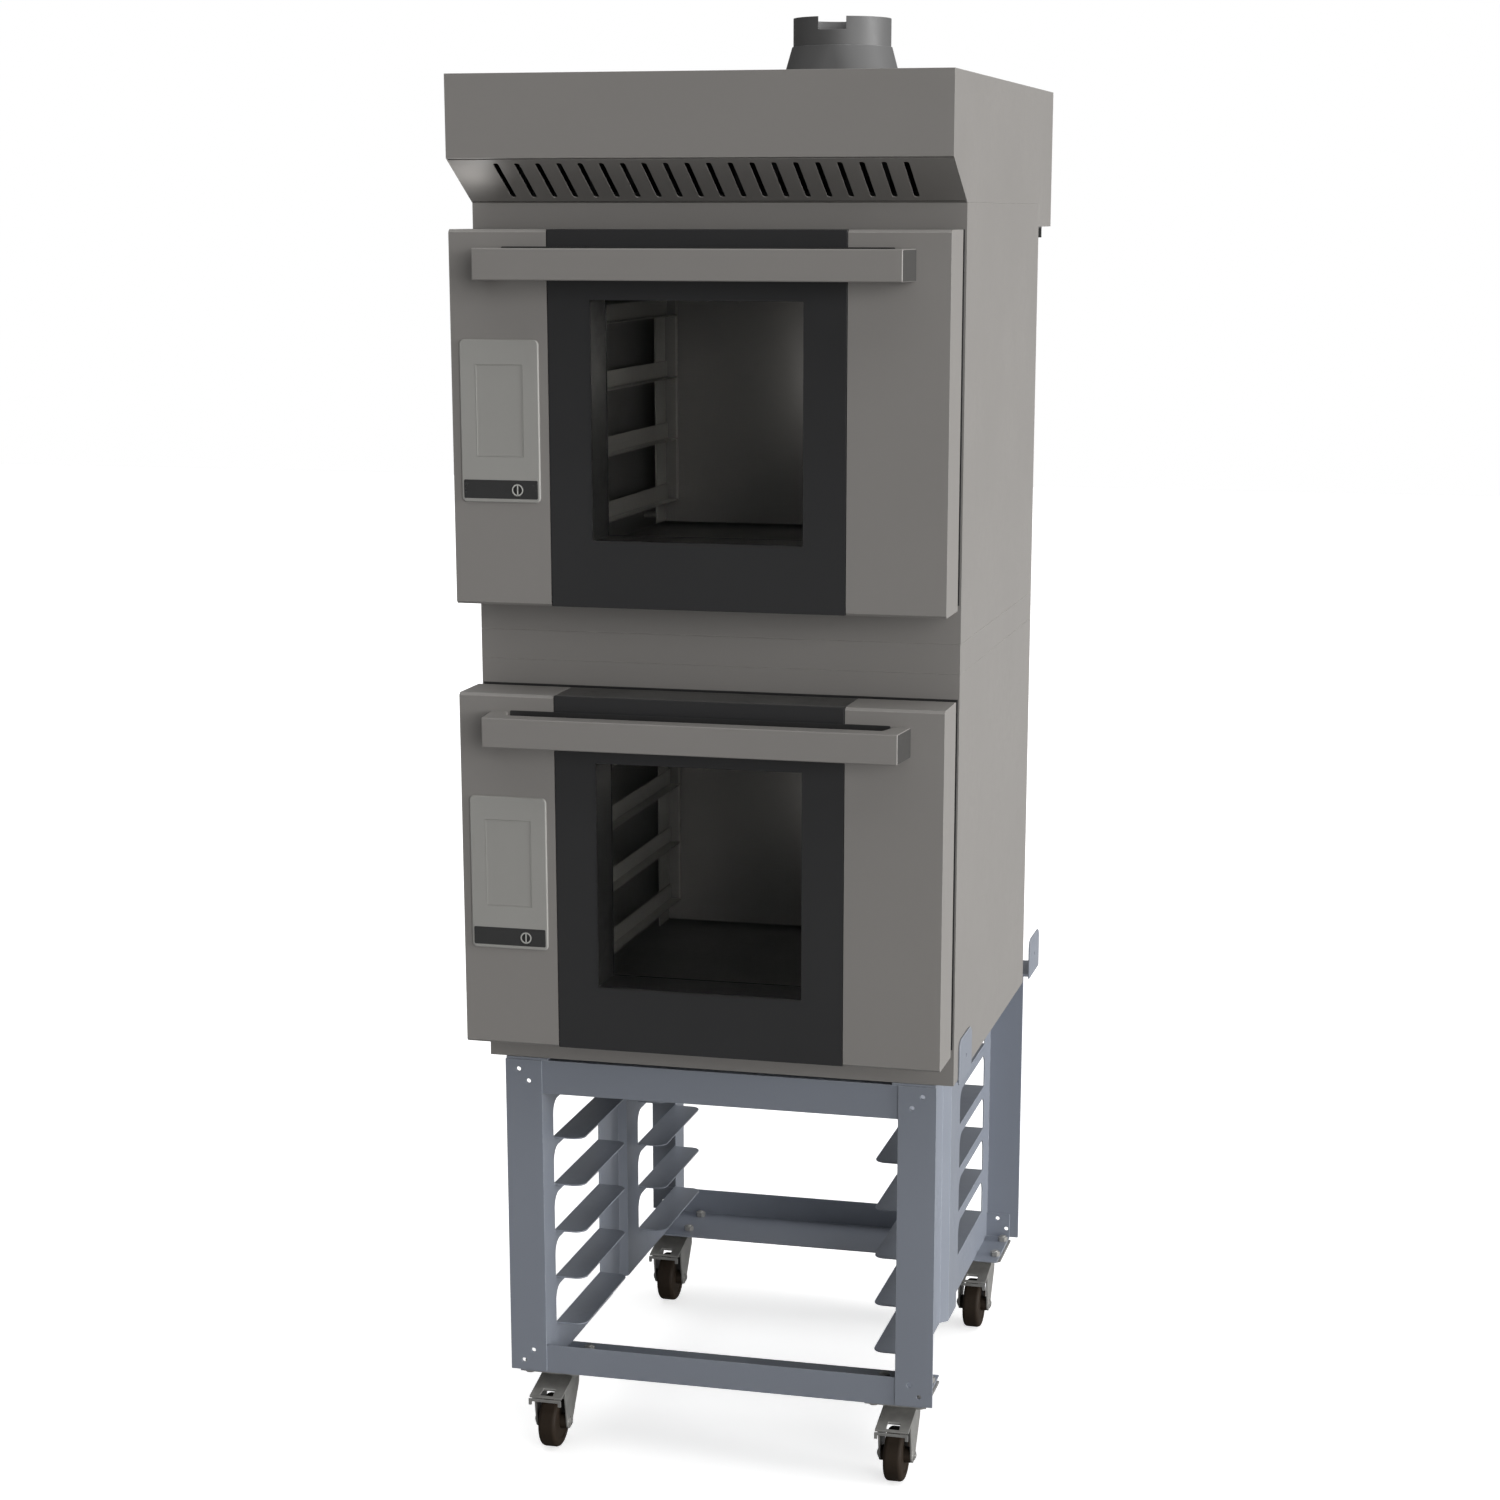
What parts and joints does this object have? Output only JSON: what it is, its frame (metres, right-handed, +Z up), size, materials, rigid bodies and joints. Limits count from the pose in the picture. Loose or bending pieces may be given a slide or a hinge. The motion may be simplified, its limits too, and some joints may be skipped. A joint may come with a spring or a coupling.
{
  "type": "double electric bakery oven",
  "caption": "Stacked electric bakery ovens with drop-down glass doors, an extraction hood with a flue collar, and an open wheeled stand with pressed tray runners.",
  "frame": {"origin": "on the floor, at the middle of the bounding box in X and Y", "axes": "+Z up, -Y to the front where the doors are, +X to the right as seen by someone facing the doors"},
  "size_m": [0.6046, 0.808, 1.82],
  "materials": {
    "casing_grey": "satin",
    "chamber_steel": "brushed",
    "insulation_wool": "matt",
    "black_plastic": "matt",
    "dark_steel": "matt",
    "fan_steel": "brushed",
    "seal_rubber": "matt",
    "door_pan_black": "matt",
    "dark_glass": "tinted, smooth",
    "clear_glass": "smooth",
    "control_grey": "satin",
    "display_film": "satin",
    "button_black": "satin",
    "filter_aluminium": "satin",
    "flue_steel": "satin",
    "stand_paint": "satin",
    "zinc_steel": "zinc plated",
    "wheel_rubber": "matt",
    "pedal_grey": "satin"
  },
  "bodies": {
    "cabinet": {"lower_casing": "casing_grey", "upper_casing": "casing_grey", "lower_cavity": "chamber_steel", "upper_cavity": "chamber_steel", "stacking_spacer": "casing_grey", "insulation": "insulation_wool", "rear_covers": "casing_grey", "cable_glands": "black_plastic", "fan_baffles": "dark_steel", "fan_motors": "dark_steel", "ring_heaters": "dark_steel", "tray_racks": "chamber_steel", "door_seals": "seal_rubber", "door_hinges": "dark_steel", "hood_casing": "casing_grey", "hood_intake_panel": "casing_grey", "hood_filter": "filter_aluminium", "hood_blower_motor": "dark_steel", "flue_collar": "flue_steel", "hood_rear_bracket": "dark_steel", "stand_left_side": "stand_paint", "stand_right_side": "stand_paint", "stand_top_rails": "stand_paint", "stand_bottom_rails": "stand_paint", "stand_rest_rails": "stand_paint", "stand_bolts": "zinc_steel", "caster_plates": "zinc_steel"},
    "lower_door": {"lower_door_frame": "door_pan_black", "lower_door_left_panel": "casing_grey", "lower_door_right_panel": "casing_grey", "lower_door_glass": "dark_glass", "lower_door_inner_glass": "clear_glass", "lower_door_handle": "casing_grey", "lower_control_panel": "control_grey", "lower_control_display": "display_film"},
    "lower_button": {"lower_power_button": "button_black"},
    "lower_fan_wheel": {"lower_fan": "fan_steel"},
    "upper_door": {"upper_door_frame": "door_pan_black", "upper_door_left_panel": "casing_grey", "upper_door_right_panel": "casing_grey", "upper_door_glass": "dark_glass", "upper_door_inner_glass": "clear_glass", "upper_door_handle": "casing_grey", "upper_control_panel": "control_grey", "upper_control_display": "display_film"},
    "upper_button": {"upper_power_button": "button_black"},
    "upper_fan_wheel": {"upper_fan": "fan_steel"},
    "hood_blower": {"hood_blower_wheel": "dark_steel"},
    "front_left_swivel": {"front_left_fork": "zinc_steel"},
    "front_left_roller": {"front_left_wheel": "wheel_rubber"},
    "front_left_brake": {"front_left_pedal": "pedal_grey"},
    "front_right_swivel": {"front_right_fork": "zinc_steel"},
    "front_right_roller": {"front_right_wheel": "wheel_rubber"},
    "front_right_brake": {"front_right_pedal": "pedal_grey"},
    "rear_left_swivel": {"rear_left_fork": "zinc_steel"},
    "rear_left_roller": {"rear_left_wheel": "wheel_rubber"},
    "rear_left_brake": {"rear_left_pedal": "pedal_grey"},
    "rear_right_swivel": {"rear_right_fork": "zinc_steel"},
    "rear_right_roller": {"rear_right_wheel": "wheel_rubber"},
    "rear_right_brake": {"rear_right_pedal": "pedal_grey"}
  },
  "joints": [
    {"name": "lower_door_hinge", "type": "hinge", "parent": "cabinet", "child": "lower_door", "pos_m": [0, -0.296, 0.592], "axis": [1, 0, 0], "range_deg": [0, 90]},
    {"name": "lower_button_press", "type": "slide", "parent": "lower_door", "child": "lower_button", "axis": [0, 1, 0], "range_m": [0, 0.001], "stiffness_N_per_m": 300},
    {"name": "lower_fan_spin", "type": "hinge", "parent": "cabinet", "child": "lower_fan_wheel", "pos_m": [0, 0.183, 0.795], "axis": [0, 1, 0], "continuous": true},
    {"name": "upper_door_hinge", "type": "hinge", "parent": "cabinet", "child": "upper_door", "pos_m": [0, -0.296, 1.138], "axis": [1, 0, 0], "range_deg": [0, 90]},
    {"name": "upper_button_press", "type": "slide", "parent": "upper_door", "child": "upper_button", "axis": [0, 1, 0], "range_m": [0, 0.001], "stiffness_N_per_m": 300},
    {"name": "upper_fan_spin", "type": "hinge", "parent": "cabinet", "child": "upper_fan_wheel", "pos_m": [0, 0.183, 1.341], "axis": [0, 1, 0], "continuous": true},
    {"name": "hood_blower_spin", "type": "hinge", "parent": "cabinet", "child": "hood_blower", "pos_m": [0.0625, 0.137, 1.6225], "axis": [0, 0, 1], "continuous": true},
    {"name": "front_left_swivel_turn", "type": "hinge", "parent": "cabinet", "child": "front_left_swivel", "pos_m": [-0.23, -0.213, 0.1], "axis": [0, 0, 1], "continuous": true},
    {"name": "front_left_wheel_roll", "type": "hinge", "parent": "front_left_swivel", "child": "front_left_roller", "pos_m": [-0.23, -0.243, 0.035], "axis": [1, 0, 0], "continuous": true},
    {"name": "front_left_brake_press", "type": "hinge", "parent": "front_left_swivel", "child": "front_left_brake", "pos_m": [-0.23, -0.254, 0.07602], "axis": [1, 0, 0], "range_deg": [0, 10]},
    {"name": "front_right_swivel_turn", "type": "hinge", "parent": "cabinet", "child": "front_right_swivel", "pos_m": [0.23, -0.213, 0.1], "axis": [0, 0, 1], "continuous": true},
    {"name": "front_right_wheel_roll", "type": "hinge", "parent": "front_right_swivel", "child": "front_right_roller", "pos_m": [0.23, -0.243, 0.035], "axis": [1, 0, 0], "continuous": true},
    {"name": "front_right_brake_press", "type": "hinge", "parent": "front_right_swivel", "child": "front_right_brake", "pos_m": [0.23, -0.254, 0.07602], "axis": [1, 0, 0], "range_deg": [0, 10]},
    {"name": "rear_left_swivel_turn", "type": "hinge", "parent": "cabinet", "child": "rear_left_swivel", "pos_m": [-0.23, 0.351, 0.1], "axis": [0, 0, 1], "continuous": true},
    {"name": "rear_left_wheel_roll", "type": "hinge", "parent": "rear_left_swivel", "child": "rear_left_roller", "pos_m": [-0.23, 0.321, 0.035], "axis": [1, 0, 0], "continuous": true},
    {"name": "rear_left_brake_press", "type": "hinge", "parent": "rear_left_swivel", "child": "rear_left_brake", "pos_m": [-0.23, 0.31, 0.07602], "axis": [1, 0, 0], "range_deg": [0, 10]},
    {"name": "rear_right_swivel_turn", "type": "hinge", "parent": "cabinet", "child": "rear_right_swivel", "pos_m": [0.23, 0.351, 0.1], "axis": [0, 0, 1], "continuous": true},
    {"name": "rear_right_wheel_roll", "type": "hinge", "parent": "rear_right_swivel", "child": "rear_right_roller", "pos_m": [0.23, 0.321, 0.035], "axis": [1, 0, 0], "continuous": true},
    {"name": "rear_right_brake_press", "type": "hinge", "parent": "rear_right_swivel", "child": "rear_right_brake", "pos_m": [0.23, 0.31, 0.07602], "axis": [1, 0, 0], "range_deg": [0, 10]}
  ]
}
